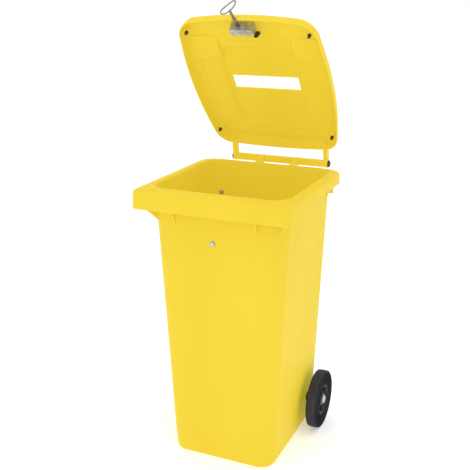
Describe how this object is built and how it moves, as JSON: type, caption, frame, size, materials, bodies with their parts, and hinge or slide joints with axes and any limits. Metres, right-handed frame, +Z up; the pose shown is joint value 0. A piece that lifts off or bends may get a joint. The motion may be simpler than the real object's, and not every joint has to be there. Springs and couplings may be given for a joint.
{
  "type": "wheelie bin",
  "caption": "Two-wheeled plastic refuse bin with a hinged lid that has a paper slot and a key lock, shown with the lid up.",
  "frame": {"origin": "on the ground, under the middle of the footprint's box at rest", "axes": "+Z up, -Y towards the front (the lock and the comb rim), +X to the right seen from the front"},
  "size_m": [0.48, 0.5795, 1.3576],
  "materials": {
    "bin_plastic": "moulded polyethylene, bright warm yellow, half gloss with a very fine grain",
    "tyre_rubber": "matt solid rubber, blue-black, dusty on the tread",
    "buffer_rubber": "matt black rubber",
    "black_plastic": "moulded black plastic, fine grain",
    "zinc_plate": "bright zinc plate with a faint blue cast",
    "dark_steel": "oiled dark steel",
    "nickel_plate": "dull nickel plate, rubbed at the bow"
  },
  "bodies": {
    "tub": {"tub": "bin_plastic", "striker": "zinc_plate", "front_bolt": "zinc_plate", "front_washer": "zinc_plate", "front_nut": "zinc_plate", "rear_bolt": "zinc_plate", "rear_washer": "zinc_plate", "rear_nut": "zinc_plate", "axle": "zinc_plate", "axle_spacer_right": "black_plastic", "axle_spacer_left": "black_plastic", "hub_cap_right": "zinc_plate", "hub_cap_left": "zinc_plate", "hinge_pin_right": "black_plastic", "hinge_pin_left": "black_plastic"},
    "lid": {"lid": "bin_plastic", "lid_buffer_front_left": "buffer_rubber", "lid_buffer_front_right": "buffer_rubber", "lid_buffer_rear_left": "buffer_rubber", "lid_buffer_rear_right": "buffer_rubber", "lock_case": "zinc_plate", "lock_back_plate": "zinc_plate", "lock_rivet_left": "zinc_plate", "lock_rivet_right": "zinc_plate"},
    "lock_spindle": {"lock_spindle": "dark_steel", "lock_cam": "dark_steel", "lock_cam_nut": "zinc_plate"},
    "key": {"key": "nickel_plate"},
    "wheel_right": {"tyre_right": "tyre_rubber", "wheel_right": "black_plastic", "hub_bush_right": "black_plastic"},
    "wheel_left": {"tyre_left": "tyre_rubber", "wheel_left": "black_plastic", "hub_bush_left": "black_plastic"}
  },
  "joints": [
    {"name": "lid_hinge", "type": "hinge", "parent": "tub", "child": "lid", "pos_m": [0, 0.276, 0.846], "axis": [-1, 0, 0], "range_deg": [-53, 212]},
    {"name": "key_turn", "type": "hinge", "parent": "lid", "child": "lock_spindle", "pos_m": [-0.021, -0.03326, 1.28689], "axis": [0, 0.7788, -0.6273], "range_deg": [0, 90]},
    {"name": "key_pull", "type": "slide", "parent": "lock_spindle", "child": "key", "axis": [0, -0.7788, 0.6273], "range_m": [0, 0.03]},
    {"name": "wheel_spin_right", "type": "hinge", "parent": "tub", "child": "wheel_right", "pos_m": [0.213, 0.11, 0.095], "axis": [1, 0, 0], "continuous": true},
    {"name": "wheel_spin_left", "type": "hinge", "parent": "tub", "child": "wheel_left", "pos_m": [-0.213, 0.11, 0.095], "axis": [1, 0, 0], "continuous": true}
  ]
}
